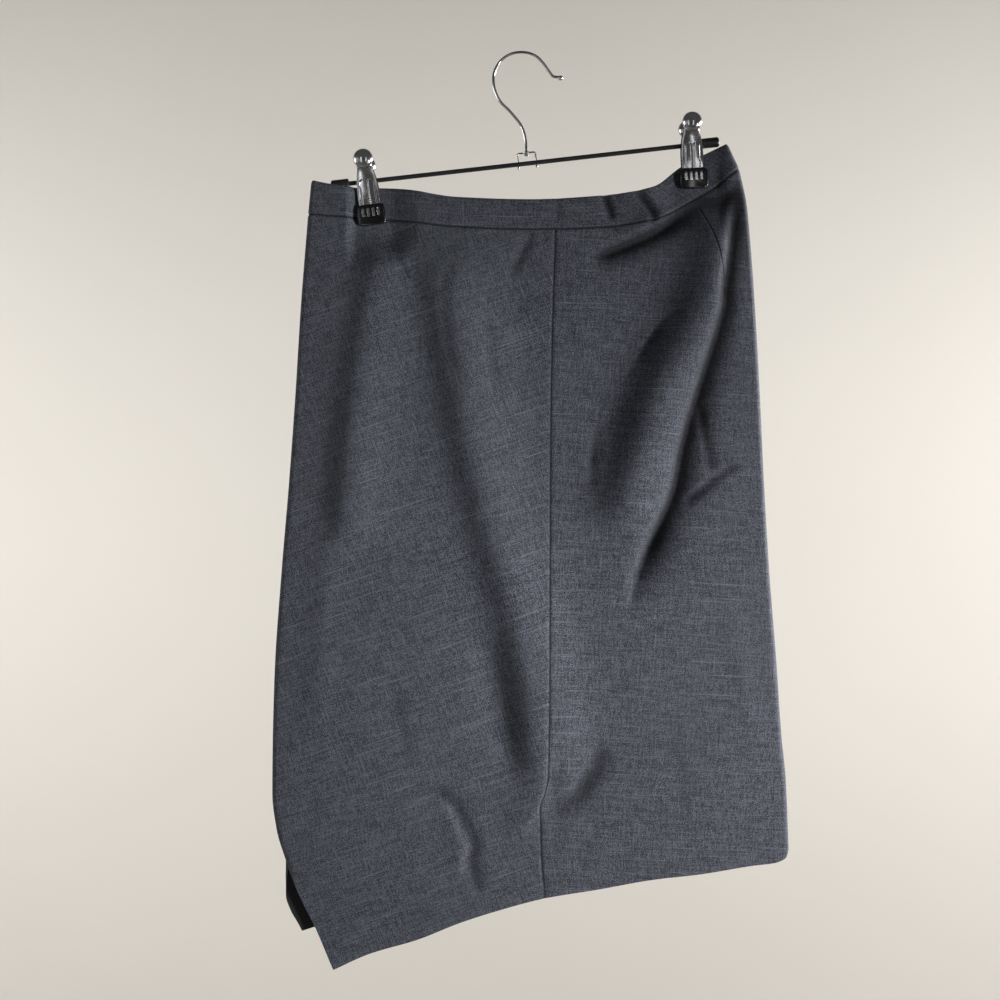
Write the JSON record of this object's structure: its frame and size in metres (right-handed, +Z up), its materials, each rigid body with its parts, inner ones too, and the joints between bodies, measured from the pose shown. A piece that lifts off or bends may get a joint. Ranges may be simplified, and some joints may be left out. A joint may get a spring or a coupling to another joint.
{
  "type": "pencil skirt on clip hanger",
  "caption": "Woven wool pencil skirt seen from its back, hanging skewed and softly creased from a clip hanger whose black bar is tilted under a chrome swivel hook.",
  "frame": {"origin": "underside of the top of the hanger's hook, where it rests on what holds it", "axes": "+Z up, +X to the viewer's right along the bar, -Y towards the viewer, who sees the skirt's back"},
  "size_m": [0.4647, 0.051, 0.824],
  "materials": {
    "wool_cloth": "matt plain-woven melange wool, charcoal and blue-grey yarns with slubs",
    "tape_cloth": "matt woven tape",
    "facing_cloth": "smooth black facing cloth",
    "bar_paint": "satin black coating",
    "cap_plastic": "smooth black",
    "chrome_wire": "polished plating",
    "chrome_plate": "polished plating, pressed ribs",
    "dipped_vinyl": "glossy black dipped coating",
    "spring_steel": "bright wire"
  },
  "bodies": {
    "root": {"waistband": "wool_cloth", "back_left": "wool_cloth", "back_right": "wool_cloth", "front": "wool_cloth", "closure_tape": "tape_cloth", "slit_facing": "facing_cloth", "hanger_bar": "bar_paint", "cap_left": "cap_plastic", "cap_right": "cap_plastic", "hook": "chrome_wire", "bail": "chrome_wire", "clip_left_near_plate": "chrome_plate", "clip_left_far_plate": "chrome_plate", "clip_right_near_plate": "chrome_plate", "clip_right_far_plate": "chrome_plate", "clip_left_near_tip": "dipped_vinyl", "clip_left_far_tip": "dipped_vinyl", "clip_right_near_tip": "dipped_vinyl", "clip_right_far_tip": "dipped_vinyl", "clip_left_spring": "spring_steel", "clip_right_spring": "spring_steel"}
  },
  "joints": []
}
